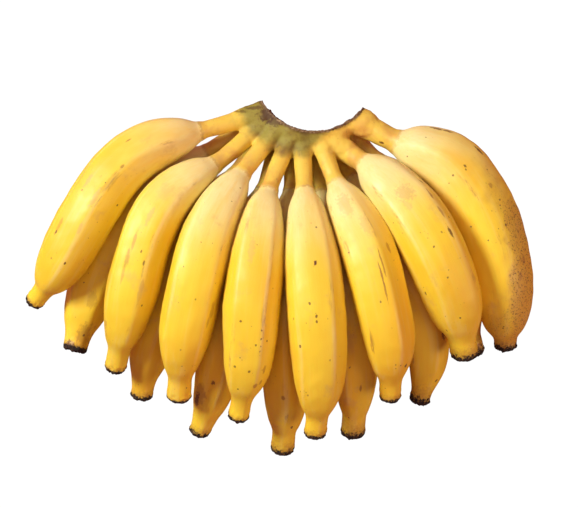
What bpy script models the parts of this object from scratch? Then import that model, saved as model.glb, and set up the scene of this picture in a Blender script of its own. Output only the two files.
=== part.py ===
"""A hand of small dessert bananas, cut from its stalk and lying down.

Fifteen fingers grow in two rows from one thick, curved crown. The crown and the tips of the
lower row rest on the surface, and the fingers arch over it with their full side up.

Metres, +Z up. +X runs along the hand's length and +Y points from the tips to the crown.
The origin is at the middle of the hand's footprint, on the surface that it lies on.
"""
import math
from collections import namedtuple

import bpy
import bmesh
import numpy as np
from mathutils import Matrix, Vector

MM = 0.001                      # the design values below are in millimetres

# Crown: a thick arc of flesh that hugged the stalk, trimmed flat underneath.
STALK_CENTRE = (20.0, 121.0)    # axis of the stalk that the hand was cut from
STALK_RADIUS = 35.3             # radius of the concave cut
CROWN_DEPTH = 12.0              # from the cut out to the notches between the stems
CROWN_HEIGHT = 44.0
CROWN_FROM = math.radians(213)  # where the cut begins and ends, seen from above
CROWN_TO = math.radians(312)
CROWN_STEPS = 16
CROWN_ROUND = 6.0               # rounding of the crown's long edges
CROWN_FOOT_ROUND = 1.5          # and of the edges round its flat underside
STUB_REACH = 14.0               # how far a stem is followed back into the crown
STUB_HEIGHTS = (11.0, 34.0)     # lowest and highest place where a stub ends in the crown
STUB_NECK = 6.0                 # length of stub that runs straight on from its finger
STUB_FLARE = 1.35               # a stem's widening where it enters the crown
JOIN_GAP = 0.3                  # clearance between the crown and each finger

# Fingers: five blunt ridges run along a thick body between a thin stem and a short blunt tip.
RIDGES = 5
RIDGE_HIGH = 1.03               # radius on a ridge, as a share of the mean radius
RIDGE_LOW = 0.965               # and on the flat between two ridges
RIDGE_AT_REST = -18             # where an outline that isn't tilted has its topmost ridge, as a roll
BODY_MIDDLE = 0.44              # where a body is thickest, as a share of its length
BODY_HALF = 0.45                # from there to where it thins to the stem, as such a share
STEM_STATIONS = (-1.0, -0.55, -0.2)
BODY_STATIONS = (0.0, 0.025, 0.06, 0.11, 0.18, 0.27, 0.38, 0.49, 0.6, 0.7, 0.78, 0.84, 0.875, 0.905, 0.95, 1.0)
FLARE_AT_ROOT = 0.12            # how much wider a stem is at its root than at its neck

# route: root in the crown, neck, and four points on to the tip, each (x, y, z) of the centre
# line. girth, stem and tip are diameters; roll is how far a ridge lies from the top of the
# finger towards its +X side, in degrees; full is the share of the body where it thins to the tip.
Finger = namedtuple("Finger", "name route girth stem tip roll full")
FINGERS = (
    Finger("finger_front_1", ((-28, 91, 31), (-48, 85, 37), (-80, 74, 43), (-117.5, 24, 43.6),
                              (-134, -2, 32), (-144, -13.5, 23)), 32.5, 9.4, 11.6, 18, 0.91),
    Finger("finger_front_2", ((-20, 81, 32), (-39, 65, 42), (-60.5, 50.5, 49.5), (-78, 17, 54),
                              (-88, -22, 45), (-96, -52, 28.5)), 30.5, 9.4, 12.6, 26, 0.89),
    Finger("finger_front_3", ((-9.5, 77, 35), (-22.8, 59, 46.5), (-36.6, 36, 56.5), (-48, -3, 62),
                              (-55, -37, 53), (-58.5, -68, 36)), 31.5, 9.6, 13.6, 34, 0.89),
    Finger("finger_front_4", ((2, 73, 36), (-7, 49, 48), (-12, 22, 60), (-16, -13, 66),
                              (-18.5, -47, 57), (-24, -79, 39)), 31.0, 9.2, 12.8, 31, 0.89),
    Finger("finger_front_5", ((13, 71, 36), (14, 49, 49), (16.7, 20, 60), (20, -17, 67),
                              (22, -54, 57), (20, -89, 39)), 32.5, 9.4, 13.0, 30, 0.90),
    Finger("finger_front_6", ((26, 71.5, 36), (32.3, 54, 46), (45.4, 27, 56.5), (55.5, -6, 62),
                              (62, -39, 55), (63, -68, 39)), 31.2, 9.4, 12.6, 20, 0.89),
    Finger("finger_front_7", ((41, 72, 34), (49, 66, 42), (69.5, 46.2, 51.5), (88, 16, 58.5),
                              (100, -15, 49.5), (106.4, -44, 35.5)), 35.5, 11.0, 15.6, 45, 0.89),
    Finger("finger_front_8", ((55, 86, 31), (68.4, 79, 33.5), (93.6, 69.6, 37), (115.2, 39.6, 37.4),
                              (127.2, 1, 35), (131.5, -40, 20)), 39.6, 12.4, 12.6, 0, 0.95),
    Finger("finger_back_1", ((-27, 84, 16), (-45, 73, 18), (-70, 54, 19.5), (-96.5, 23, 18.2),
                             (-113.5, -14, 14.8), (-121, -42, 17)), 32.0, 9.4, 14.6, 30, 0.93),
    Finger("finger_back_2", ((-16, 76, 12), (-27, 60, 19), (-44, 37, 24), (-62, -3, 27),
                             (-76, -40, 18), (-82, -70, 6.5)), 28.0, 9.4, 13.4, 10, 0.93),
    Finger("finger_back_3", ((-4, 71, 12), (-9.5, 51, 19), (-20.5, 20, 27), (-31, -23, 31),
                             (-39, -64, 20), (-48.5, -91, 5.9)), 28.0, 9.4, 12.6, 20, 0.93),
    Finger("finger_back_4", ((7, 69, 14), (7, 50, 23), (6, 20, 34), (3, -26, 38),
                             (3.5, -70, 23), (1, -101.5, 6)), 29.4, 9.4, 13.0, 0, 0.905),
    Finger("finger_back_5", ((20, 69, 12), (24, 50, 20), (32, 20, 28), (41, -26, 33),
                             (44, -64, 20), (43, -92, 6.2)), 28.6, 9.4, 13.2, 40, 0.91),
    Finger("finger_back_6", ((34, 72, 12), (42, 59, 18), (56, 33, 25), (75, -6, 28),
                             (86, -38, 18), (82, -73, 6.4)), 28.4, 9.4, 13.0, 25, 0.94),
    Finger("finger_back_7", ((48, 78, 14), (57, 69, 16), (76, 48, 17), (94, 17, 16.3),
                             (107, -14, 13.6), (114.8, -44.5, 6.5)), 27.6, 9.4, 13.0, 36, 0.90),
)

PEEL_COLOUR = (0.86, 0.56, 0.06)
CROWN_COLOUR = (0.36, 0.29, 0.07)


def spline_points(knots, params, at):
    """Read a natural cubic spline, straight at both ends, that passes the knots at params."""
    count = len(knots)
    step = np.diff(params)
    slope = np.diff(knots, axis=0) / step[:, None]
    system = np.eye(count)
    right = np.zeros((count, 3))
    for i in range(1, count - 1):
        system[i, i - 1:i + 2] = step[i - 1], 2 * (step[i - 1] + step[i]), step[i]
        right[i] = 6 * (slope[i] - slope[i - 1])
    bend = np.linalg.solve(system, right)
    i = np.clip(np.searchsorted(params, at) - 1, 0, count - 2)
    width = step[i][:, None]
    ahead = (params[i + 1] - at)[:, None]
    behind = (at - params[i])[:, None]
    curved = (bend[i] * ahead ** 3 + bend[i + 1] * behind ** 3) / (6 * width)
    start = (knots[i] / width - bend[i] * width / 6) * ahead
    end = (knots[i + 1] / width - bend[i + 1] * width / 6) * behind
    return curved + start + end


def centre_line(finger):
    """Centre points of a finger's cross sections, and each one's share of the body's length."""
    knots = np.array(finger.route, dtype=float)
    chord = np.linalg.norm(np.diff(knots, axis=0), axis=1)
    params = np.concatenate([[0], np.cumsum(chord)])
    fine_at = np.linspace(0, params[-1], 400)
    fine = spline_points(knots, params, fine_at)
    run = np.concatenate([[0], np.cumsum(np.linalg.norm(np.diff(fine, axis=0), axis=1))])
    neck = np.interp(params[1], fine_at, run)
    body = run[-1] - neck
    share = np.array([s * neck / body for s in STEM_STATIONS] + list(BODY_STATIONS))
    along = neck + share * body
    points = np.stack([np.interp(along, run, fine[:, axis]) for axis in range(3)], axis=1)
    return points, share


def radii(finger, share):
    """Radius at each share of the body's length: a blunt barrel blended into stem and tip."""
    half = np.where(share < BODY_MIDDLE, BODY_HALF, finger.full - BODY_MIDDLE)
    place = np.clip((share - BODY_MIDDLE) / half, -1, 1)
    towards_stem = (1 - np.abs(place) ** 2.2) ** 0.37
    towards_tip = (1 - np.abs(place) ** 2.6) ** 0.35
    barrel = finger.girth / 2 * np.where(place < 0, towards_stem, towards_tip)
    end = np.where(share < BODY_MIDDLE, finger.stem, finger.tip) / 2
    blended = (barrel ** 4 + end ** 4) ** 0.25
    root = np.clip(share / share[0], 0, 1)
    return np.where(share < 0, end * (1 + FLARE_AT_ROOT * root), blended)


def make_material(name, colour, roughness):
    material = bpy.data.materials.new(name)
    material.use_nodes = True
    shader = material.node_tree.nodes["Principled BSDF"]
    shader.inputs["Base Color"].default_value = (*colour, 1.0)
    shader.inputs["Roughness"].default_value = roughness
    shader.inputs["Metallic"].default_value = 0.0
    material.diffuse_color = (*colour, 1.0)
    return material


def make_outline(name, points, guides):
    """A closed flat curve that other curves carry along as their cross section."""
    data = bpy.data.curves.new(name, "CURVE")
    spline = data.splines.new("POLY")
    spline.points.add(len(points) - 1)
    for point, (x, y) in zip(spline.points, points):
        point.co = (x, y, 0, 1)
    spline.use_cyclic_u = True
    outline = bpy.data.objects.new(name, data)
    outline.hide_render = True
    outline.display_type = "WIRE"
    guides.objects.link(outline)
    return outline


def ridged_outline(guides):
    """A clockwise ring of radius one, its points in turn on a ridge and on the flat beside it."""
    sides = 2 * RIDGES
    ring = []
    for k in range(sides):
        angle = -2 * math.pi * k / sides
        reach = RIDGE_HIGH if k % 2 == 0 else RIDGE_LOW
        ring.append((reach * math.cos(angle), reach * math.sin(angle)))
    return make_outline("finger_outline", ring, guides)


def crown_outline(guides):
    """The crown's upright section: a tall block with rounded edges, centred on its mid line."""
    half_depth = CROWN_DEPTH / 2 * MM
    half_height = CROWN_HEIGHT / 2 * MM
    ring = []
    for across, up, rounding in ((1, 1, CROWN_ROUND), (-1, 1, CROWN_ROUND),
                                 (-1, -1, CROWN_FOOT_ROUND), (1, -1, CROWN_FOOT_ROUND)):
        radius = rounding * MM
        start = math.atan2(up, across) - math.pi / 4
        for step in range(4):
            angle = start + step * math.pi / 6
            x = across * (half_depth - radius) + radius * math.cos(angle)
            y = up * (half_height - radius) + radius * math.sin(angle)
            ring.append((x, y))
    return make_outline("crown_outline", ring, guides)


def sweep(name, points, sizes, outline, collection, roll=0.0):
    """Carry an outline along points, scaled by sizes. The object stands at its first point."""
    data = bpy.data.curves.new(name, "CURVE")
    data.dimensions = "3D"
    data.twist_mode = "Z_UP"
    data.bevel_mode = "OBJECT"
    data.bevel_object = outline
    data.use_fill_caps = True
    spline = data.splines.new("POLY")
    spline.points.add(len(points) - 1)
    first = Vector(points[0]) * MM
    for point, place, size in zip(spline.points, points, sizes):
        point.co = (*(Vector(place) * MM - first), 1)
        point.radius = size
        point.tilt = roll
    swept = bpy.data.objects.new(name, data)
    swept.location = first
    collection.objects.link(swept)
    return swept


def as_mesh(swept, collection):
    """Replace a curve object by a closed mesh object, in the same place and of the same name."""
    bpy.context.view_layer.update()
    graph = bpy.context.evaluated_depsgraph_get()
    mesh = bpy.data.meshes.new_from_object(swept.evaluated_get(graph))
    shape = bmesh.new()
    shape.from_mesh(mesh)
    bmesh.ops.remove_doubles(shape, verts=shape.verts, dist=1e-6)
    bmesh.ops.recalc_face_normals(shape, faces=shape.faces)
    shape.to_mesh(mesh)
    shape.free()
    name = swept.name
    place = swept.matrix_world.copy()
    bpy.data.objects.remove(swept)
    solid = bpy.data.objects.new(name, mesh)
    solid.matrix_world = place
    collection.objects.link(solid)
    return solid


def nearest_on_crown(point):
    """Where a stub that comes from this point ends: on the crown's mid line, nearest to it."""
    x, y = point[0] - STALK_CENTRE[0], point[1] - STALK_CENTRE[1]
    angle = math.atan2(y, x) % (2 * math.pi)
    angle = min(max(angle, CROWN_FROM), CROWN_TO)
    middle = STALK_RADIUS + CROWN_DEPTH / 2
    height = min(max(point[2], STUB_HEIGHTS[0]), STUB_HEIGHTS[1])
    return (STALK_CENTRE[0] + middle * math.cos(angle),
            STALK_CENTRE[1] + middle * math.sin(angle), height)


def make_crown(parts, guides, round_outline):
    """The arc of the crown, united with a stub for each finger's stem."""
    middle = STALK_RADIUS + CROWN_DEPTH / 2
    arc = []
    for step in range(CROWN_STEPS + 1):
        angle = CROWN_FROM + (CROWN_TO - CROWN_FROM) * step / CROWN_STEPS
        arc.append((STALK_CENTRE[0] + middle * math.cos(angle),
                    STALK_CENTRE[1] + middle * math.sin(angle), CROWN_HEIGHT / 2))
    pad = sweep("crown", arc, [1] * len(arc), crown_outline(guides), parts)
    crown = as_mesh(pad, parts)
    for finger in FINGERS:
        points, share = centre_line(finger)
        inward = points[0] - points[1]
        inward /= np.linalg.norm(inward)
        face = points[0] + inward * JOIN_GAP
        bend = points[0] + inward * STUB_NECK
        heart = nearest_on_crown(points[0] + inward * STUB_REACH)
        size = radii(finger, share)[0] * MM
        stub = sweep("stub_of_" + finger.name, (face, bend, heart),
                     (size, size * (1 + STUB_FLARE) / 2, size * STUB_FLARE), round_outline, guides)
        stub = as_mesh(stub, guides)
        stub.hide_render = True
        stub.display_type = "WIRE"
        union = crown.modifiers.new(stub.name, "BOOLEAN")
        union.operation = "UNION"
        union.object = stub
    return crown


def make_finger(finger, parts, outline):
    points, share = centre_line(finger)
    sizes = radii(finger, share) * MM
    tilt = math.radians(RIDGE_AT_REST - finger.roll)
    return sweep(finger.name, points, sizes, outline, parts, tilt)


def stand_on_origin(parts):
    """Move every part, so that the origin is at the middle of the footprint of them all."""
    bpy.context.view_layer.update()
    graph = bpy.context.evaluated_depsgraph_get()
    corners = []
    for part in parts.objects:
        solid = part.evaluated_get(graph)
        mesh = solid.to_mesh()
        corners += [solid.matrix_world @ vertex.co for vertex in mesh.vertices]
        solid.to_mesh_clear()
    corners = np.array(corners)
    low, high = corners.min(axis=0), corners.max(axis=0)
    offset = Matrix.Translation((-(low[0] + high[0]) / 2, -(low[1] + high[1]) / 2, -low[2]))
    for thing in bpy.data.objects:
        thing.matrix_world = offset @ thing.matrix_world


def main():
    for thing in list(bpy.data.objects):
        bpy.data.objects.remove(thing)
    parts = bpy.data.collections.new("banana_hand")
    guides = bpy.data.collections.new("banana_hand_guides")
    bpy.context.scene.collection.children.link(parts)
    bpy.context.scene.collection.children.link(guides)
    outline = ridged_outline(guides)
    crown = make_crown(parts, guides, outline)
    crown.data.materials.append(make_material("crown_flesh", CROWN_COLOUR, 0.7))
    for finger in FINGERS:
        body = make_finger(finger, parts, outline)
        body.data.materials.append(make_material("peel_of_" + finger.name, PEEL_COLOUR, 0.5))
    stand_on_origin(parts)


main()
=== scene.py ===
"""Looks of a hand of small ripe bananas that lies on its tips and its crown.

Every finger is a skin worked out around the centre line, girth and ridges of its CAD solid.
The crown is one grown-together pad whose stubs run over into the fingers' stems.
Metres, +Z up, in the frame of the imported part.
"""
import math

import bpy
import numpy as np
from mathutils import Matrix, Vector


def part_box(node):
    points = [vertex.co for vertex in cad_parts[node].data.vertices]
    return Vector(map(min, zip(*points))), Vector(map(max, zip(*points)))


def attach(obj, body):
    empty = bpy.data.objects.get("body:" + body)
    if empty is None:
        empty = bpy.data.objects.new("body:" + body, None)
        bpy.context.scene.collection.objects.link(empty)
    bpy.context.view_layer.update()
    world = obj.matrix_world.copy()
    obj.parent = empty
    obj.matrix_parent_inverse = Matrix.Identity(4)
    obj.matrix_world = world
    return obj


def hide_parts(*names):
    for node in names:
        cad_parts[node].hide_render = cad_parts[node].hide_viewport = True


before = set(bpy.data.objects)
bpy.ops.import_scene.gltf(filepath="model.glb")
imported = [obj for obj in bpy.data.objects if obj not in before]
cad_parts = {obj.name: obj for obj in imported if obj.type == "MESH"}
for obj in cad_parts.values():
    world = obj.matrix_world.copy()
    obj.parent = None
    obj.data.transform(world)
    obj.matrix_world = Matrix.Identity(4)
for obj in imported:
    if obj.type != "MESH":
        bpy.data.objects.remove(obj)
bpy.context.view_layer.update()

MM = 0.001
FINGERS = sorted(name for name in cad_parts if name.startswith("finger_"))

# Grid of a finger's skin
ROWS_ALONG = 210
ROWS_TIP_RIM = 8
ROWS_TIP_DISC = 9
COLUMNS = 96

# Measuring a finger's solid
SLICES = 60  # planes across it
SHELLS = 14  # shells round the crown that give its first centre line
CENTRING_ROUNDS = 6  # how often the line is put through the middles of the sections
CAP_CLEAR = 5.5 * MM  # nearer to a flat end than this, a plane could cut the end
SECTION_REACH = 30 * MM  # a cut further from the line than this is another part's
SECTION_AREA = 2.92  # area of a solid's ten-sided section for a mean radius of one
NECK_SWELL = 1.16  # the stem ends where its radius is this many times its least

# Shape of a finger
RIDGE_COUNT = 5
RIDGE_POWER = 13.0  # how tight the rounding of a ridge is
RIDGE_SHARE = 0.52  # share of the five-sided section in a section, the rest is round
ROUNDER = {"finger_front_1": 0.42, "finger_front_8": 0.30}  # and where it is less than that
RIDGE_TWIST = 0.12  # most radians that the ridges turn by from the neck to the tip
RIDGES_UNEVEN = (0.03, 0.085)  # least and most radians that a ridge is off its even place
ROOT_INSIDE = 4.0 * MM  # how far a stem runs on inside the crown
TIP_RIM = 2.2 * MM  # rounding of the blunt end
TIP_HOLLOW = 0.9 * MM  # depth of the hollow in it
TIP_NUB = 1.7 * MM  # height of the nub in the hollow's middle
COLLAR = 0.28 * MM  # height of the low ring round the neck
SWELL = (0.40 * MM, 70 * MM)  # height and longest wave of the body's slow swell
DENTS = (0.08 * MM, 16 * MM)  # of the peel's dents
CRUMPLE = (0.30 * MM, 5 * MM)  # of the crumpled skin at the tip
RAGGED = (0.45 * MM, 3.2 * MM)  # of the scar's ragged face
LOWEST = 0.05 * MM  # what is below this height lies on the ground

# Crown
CROWN_VOXEL = 0.8 * MM
FIT_ROUNDS = 8  # how often the crown's arcs are fitted and their points shared out again
PAD_EDGE = 1.5 * MM  # rounding between the cut and the flat underside of the solid
PAD_SLOPE = 0.40  # fall of the pad's top away from the cut
PAD_DROP = 7.0 * MM  # how much lower the pad's top is at the ends of its arc
PAD_INSIDE = 6 * MM  # how far the pad stands past the solid's inner arc before it is cut
PAD_OUTSIDE = 1.5 * MM  # how far it stands out past the outer arc
CUT_LEAN = 3.0 * MM  # how far the cut leans from its foot to its top
STUB_HIDDEN = 9.0 * MM  # how far a stub reaches inside its finger's stem
STUB_THROUGH = 24.0 * MM  # how far it runs on the other way, past the cut
CUT_FIBRES = (0.16 * MM, 2.6 * MM)  # height and longest wave of the cut's upright fibres
CUT_STEPS = (0.22 * MM, 11 * MM)  # of its coarse steps
CUT_EDGE = math.radians(42)  # a sharper edge than this isn't shaded smooth

# Camera, straight above this point of the floor
CAMERA_OVER = (0.00692, 0.0158)
CAMERA_HEIGHT = 1.045
CAMERA_LENS = 109.1

# Floor and light
FLOOR_HALF = 3.0
FLOOR_BELOW = 0.2 * MM
FLOOR_COLOUR = (0.34, 0.12, 0.10, 1.0)  # what the fruit gets back from the floor
FLOOR_GLOW = 0.97  # share of the floor's own even glow in what the camera sees
GLOW_STRENGTH = 1.07
LIGHTS_AIM = (0.0, 0.0, 0.03)
LIGHTS = (  # name, place, width, power and colour
    ("key", (-1.03, 0.54, 1.08), 0.50, 27.0, (1.0, 0.97, 0.84)),
    ("overhead", (0.0, 0.3, 1.60), 1.20, 2.5, (1.0, 0.93, 0.84)),
    ("right", (1.15, -0.45, 0.85), 0.80, 8.0, (1.0, 0.70, 0.50)),
)
FILL_COLOUR = (1.0, 0.40, 0.55, 1.0)
FILL_STRENGTH = 0.25

# Colours
PEEL_YELLOW = (0.91, 0.69, 0.045)
PEEL_DEEP = (0.88, 0.56, 0.03)
# pale cream: of the peel's own streaks and ridge lines, and of the painted highlight on the shoulders
PALE_PEEL_AND_HIGHLIGHT = (0.90, 0.82, 0.44)
STEM_YELLOW = (0.84, 0.61, 0.10)
STEM_TAN = (0.70, 0.41, 0.09)
CROWN_OLIVE = (0.31, 0.27, 0.05)
CROWN_BROWN = (0.17, 0.09, 0.03)
RUB_BROWN = (0.36, 0.17, 0.03)
BRUISE_TAN = (0.60, 0.40, 0.14)
# dull brown: of bruising, and of painted shade on the lowest outer finger's side away from the light
DULL_BRUISE_AND_SHADE = (0.50, 0.28, 0.06)
FRECKLE_BROWN = (0.12, 0.045, 0.015)
SCAR_BLACK = (0.008, 0.005, 0.004)
SCAR_BROWN = (0.055, 0.025, 0.012)
CUT_DARK = (0.08, 0.035, 0.014)
CUT_PALE = (0.40, 0.29, 0.16)

# How far the dry scar reaches up each finger, in millimetres: the lower row, then the upper one
DRY_TIPS = dict(zip(FINGERS, (1.8, 3.0, 3.2, 4.8, 5.6, 6.6, 6.0,
                              1.6, 2.0, 1.2, 1.6, 2.6, 2.4, 4.4, 4.8)))

# Single marks by finger: share of the body, degrees round from the top, half length and half
# width in millimetres, strength, and kind: tan, brown, dark, or freckled_shade, a region of freckles
# whose dull brown tint is partly painted shade
MARKS = {
    "finger_front_1": (
        (0.261, 30, 1.5, 0.6, 0.7, "brown"), (0.338, 352, 1.6, 0.8, 0.65, "brown"),
        (0.4, 350, 6.0, 2.2, 0.28, "brown"), (0.435, 353, 4.0, 1.6, 0.3, "brown"),
        (0.445, 30, 5.0, 1.3, 0.5, "tan"), (0.485, 356, 6.0, 1.6, 0.55, "tan"),
        (0.6, 353, 4.0, 1.2, 0.5, "tan"), (0.629, 38, 4.5, 1.0, 0.45, "brown"),
        (0.655, 38, 1.6, 0.6, 0.85, "dark"), (0.733, 345, 0.9, 0.7, 0.9, "dark"),
        (0.744, 19, 0.8, 0.6, 0.6, "brown"), (0.464, 304, 0.8, 0.7, 0.9, "dark"),
    ),
    "finger_front_2": (
        (0.436, 19, 6.0, 1.1, 0.5, "brown"), (0.505, 22, 6.0, 1.3, 0.55, "brown"),
        (0.555, 22, 5.0, 1.0, 0.4, "brown"), (0.465, 356, 1.0, 0.6, 0.75, "dark"),
        (0.499, 345, 1.3, 0.6, 0.75, "dark"), (0.6, 338, 8.0, 1.3, 0.25, "brown"),
        (0.653, 326, 0.7, 0.6, 0.8, "dark"), (0.34, 8, 6.0, 1.5, 0.45, "tan"),
    ),
    "finger_front_3": (
        (0.567, 300, 6.0, 2.6, 0.5, "brown"), (0.612, 308, 3.0, 1.4, 0.5, "brown"),
        (0.533, 349, 0.6, 0.5, 0.6, "dark"), (0.725, 0, 0.7, 0.6, 0.6, "brown"),
    ),
    "finger_front_4": (
        (0.535, 19, 0.7, 0.7, 0.8, "dark"), (0.708, 26, 0.7, 0.7, 0.75, "dark"),
        (0.719, 352, 0.9, 0.8, 0.8, "dark"), (0.812, 15, 0.7, 0.6, 0.7, "dark"),
        (0.719, 311, 2.6, 1.6, 0.6, "brown"), (0.783, 330, 2.0, 1.6, 0.6, "brown"),
        (0.775, 315, 1.8, 1.3, 0.6, "brown"), (0.293, 11, 8.0, 2.2, 0.35, "tan"),
    ),
    "finger_front_5": (
        (0.318, 352, 1.6, 1.0, 1.0, "dark"), (0.447, 11, 0.7, 0.6, 0.8, "dark"),
        (0.486, 0, 0.8, 0.7, 0.85, "dark"), (0.503, 0, 0.7, 0.6, 0.8, "dark"),
        (0.492, 49, 0.7, 0.6, 0.7, "brown"), (0.582, 38, 0.9, 0.7, 0.8, "dark"),
        (0.632, 338, 0.7, 0.6, 0.6, "brown"), (0.772, 26, 0.8, 0.7, 0.7, "brown"),
    ),
    "finger_front_6": (
        (0.4, 343, 8.0, 0.6, 0.75, "brown"), (0.444, 347, 9.0, 0.6, 0.85, "brown"),
        (0.494, 350, 8.0, 0.5, 0.7, "brown"), (0.35, 311, 3.0, 1.4, 0.6, "brown"),
        (0.806, 315, 1.3, 1.1, 0.9, "dark"), (0.533, 4, 0.7, 0.6, 0.7, "dark"),
        (0.133, 7, 8.0, 4.5, 0.4, "tan"), (0.249, 345, 7.0, 2.8, 0.35, "tan"),
    ),
    "finger_front_7": (
        (0.238, 308, 2.5, 0.6, 0.75, "dark"), (0.301, 315, 3.5, 0.8, 0.75, "brown"),
        (0.375, 319, 3.5, 0.8, 0.7, "brown"), (0.455, 322, 3.6, 0.8, 0.85, "dark"),
        (0.444, 338, 0.8, 0.6, 0.7, "brown"), (0.629, 64, 1.1, 0.8, 0.8, "dark"),
        (0.82, 45, 1.0, 0.7, 0.8, "dark"), (0.243, 352, 6.5, 5.0, 0.5, "tan"),
        (0.291, 4, 4.0, 2.2, 0.3, "tan"),
    ),
    "finger_front_8": (
        (0.262, 349, 1.0, 0.8, 0.85, "dark"), (0.257, 15, 0.8, 0.7, 0.75, "dark"),
        (0.275, 353, 0.6, 0.6, 0.7, "dark"), (0.363, 330, 1.5, 1.3, 0.6, "brown"),
        (0.257, 300, 3.0, 1.1, 0.85, "dark"), (0.118, 296, 4.0, 1.1, 0.8, "dark"),
        (0.156, 296, 3.5, 1.0, 0.8, "dark"), (0.512, 334, 0.8, 0.7, 0.8, "dark"),
        (0.693, 330, 2.2, 1.7, 0.65, "brown"), (0.645, 315, 2.0, 1.6, 0.65, "brown"),
        # freckled_shade: real freckles, with a dull brown tint that is partly painted shade on this
        # finger's shaded side and lower part
        (0.42, 326, 0.7, 0.7, 0.7, "dark"), (0.6, 306, 30.0, 13.0, 1.0, "freckled_shade"),
        (0.78, 312, 28.0, 14.0, 1.0, "freckled_shade"), (0.86, 345, 20.0, 17.0, 0.6, "freckled_shade"),
        (0.4, 325, 20.0, 9.0, 0.5, "freckled_shade"), (-0.052, 45, 1.7, 0.9, 0.9, "dark"),
    ),
    "finger_back_1": (
        (0.93, 330, 0.9, 0.8, 0.9, "dark"), (0.99, 28, 4.5, 3.6, 1.0, "dark"),
        (0.93, 325, 9.0, 5.0, 0.55, "brown"), (0.77, 345, 6.0, 3.2, 0.35, "brown"),
    ),
    "finger_back_2": ((0.86, 70, 5.0, 2.2, 0.8, "dark"),),
    "finger_back_3": (
        (0.826, 42, 6.5, 1.8, 0.85, "dark"), (0.8, 32, 9.0, 4.0, 0.5, "brown"),
        (0.732, 4, 1.6, 1.1, 0.8, "dark"),
    ),
    "finger_back_4": ((0.725, 7, 1.7, 1.3, 0.7, "brown"), (0.861, 334, 1.3, 0.8, 0.8, "dark")),
    "finger_back_5": ((0.749, 349, 2.6, 0.7, 0.75, "brown"), (0.66, 15, 0.7, 0.7, 0.7, "dark")),
    "finger_back_6": ((0.877, 319, 1.0, 0.9, 0.8, "dark"), (0.7, 310, 2.6, 2.0, 0.7, "dark")),
    "finger_back_7": ((0.95, 330, 2.0, 2.0, 0.7, "brown"),),
}

# Brown patches on the crown and the stem beside it: centre, reach (both in millimetres), strength
STEM_PATCHES = (
    ((-5.8, 96.0, 38.0), (5.5, 5.0, 12.0), 0.95),
    ((-1.5, 91.5, 40.0), (6.0, 2.8, 6.0), 0.75),
    ((-15.0, 100.0, 37.0), (8.0, 1.3, 5.0), 0.70),
    ((-22.0, 98.0, 36.0), (5.0, 1.2, 5.0), 0.60),
    ((16.0, 84.0, 40.0), (3.5, 5.5, 6.0), 0.35),
)


# ---- measuring the solids

def triangles_of(node):
    """The corners of a solid's triangles, as an array of (triangle, corner, xyz)."""
    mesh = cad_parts[node].data
    mesh.calc_loop_triangles()
    corners = np.empty(len(mesh.vertices) * 3)
    mesh.vertices.foreach_get("co", corners)
    index = np.empty(len(mesh.loop_triangles) * 3, dtype=np.int32)
    mesh.loop_triangles.foreach_get("vertices", index)
    return corners.reshape(-1, 3)[index].reshape(-1, 3, 3)


def unit(vectors):
    return vectors / np.linalg.norm(vectors, axis=-1, keepdims=True)


def lengths(vectors):
    return np.linalg.norm(vectors, axis=-1)


def smooth_along(values, spread):
    """Average each row with its neighbours, spread rows wide, except for the two end rows."""
    reach = int(math.ceil(spread * 3))
    weights = np.exp(-0.5 * (np.arange(-reach, reach + 1) / spread) ** 2)
    weights /= weights.sum()
    before = 2 * values[:1] - values[reach:0:-1]
    after = 2 * values[-1:] - values[-2:-reach - 2:-1]
    padded = np.concatenate([before, values, after])
    columns = padded.reshape(len(padded), -1)
    smooth = np.stack([np.convolve(column, weights, "valid") for column in columns.T], axis=1)
    smooth = smooth.reshape(values.shape)
    smooth[0], smooth[-1] = values[0], values[-1]
    return smooth


def read_along(at, run, rows):
    """Rows of (place, xyz) that are known at the distances run, read off at other distances."""
    return np.stack([np.interp(at, run, rows[:, k]) for k in range(3)], axis=1)


def resample(points, count):
    """The same line with count points at equal distances, and its length."""
    run = np.concatenate([[0], np.cumsum(lengths(np.diff(points, axis=0)))])
    at = np.linspace(0, run[-1], count)
    return read_along(at, run, points), run[-1]


def slices(solid, points, tangents):
    """Cut a solid by one plane per point. Gives each cut's segments, as start, end and length."""
    height = np.einsum("kd,mcd->kmc", tangents, solid)
    height -= np.einsum("kd,kd->k", tangents, points)[:, None, None]
    ahead = np.roll(height, -1, axis=2)
    crossed = height * ahead < 0
    share = np.where(crossed, height / np.where(crossed, height - ahead, 1), 0)
    place = solid + share[..., None] * (np.roll(solid, -1, axis=1) - solid)
    rising = crossed & (height < 0)
    falling = crossed & (height > 0)
    start = (place * rising[..., None]).sum(axis=2)
    end = (place * falling[..., None]).sum(axis=2)
    hit = rising.any(axis=2) & falling.any(axis=2)
    near = lengths(start - points[:, None]) < SECTION_REACH
    length = lengths(end - start) * (hit & near)
    return start, end, length


def section_axes(tangents):
    """For each tangent, the direction that is uppermost across it and the one to its side."""
    up = np.array([0.0, 0.0, 1.0]) - tangents * tangents[:, 2:3]
    up = unit(up)
    return up, np.cross(tangents, up)


def spokes(up, side, turn):
    """Directions across each row: up, turned towards the side by each of these angles."""
    return up[:, None] * np.cos(turn)[None, :, None] + side[:, None] * np.sin(turn)[None, :, None]


def end_cap(corners, inside, outward):
    """Centre and radius of the flat end that lies furthest along outward."""
    reach = (corners - inside) @ unit(outward)
    ring = corners[np.argsort(reach)[-2 * RIDGE_COUNT:]]
    centre = ring.mean(axis=0)
    return centre, lengths(ring - centre).mean()


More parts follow.
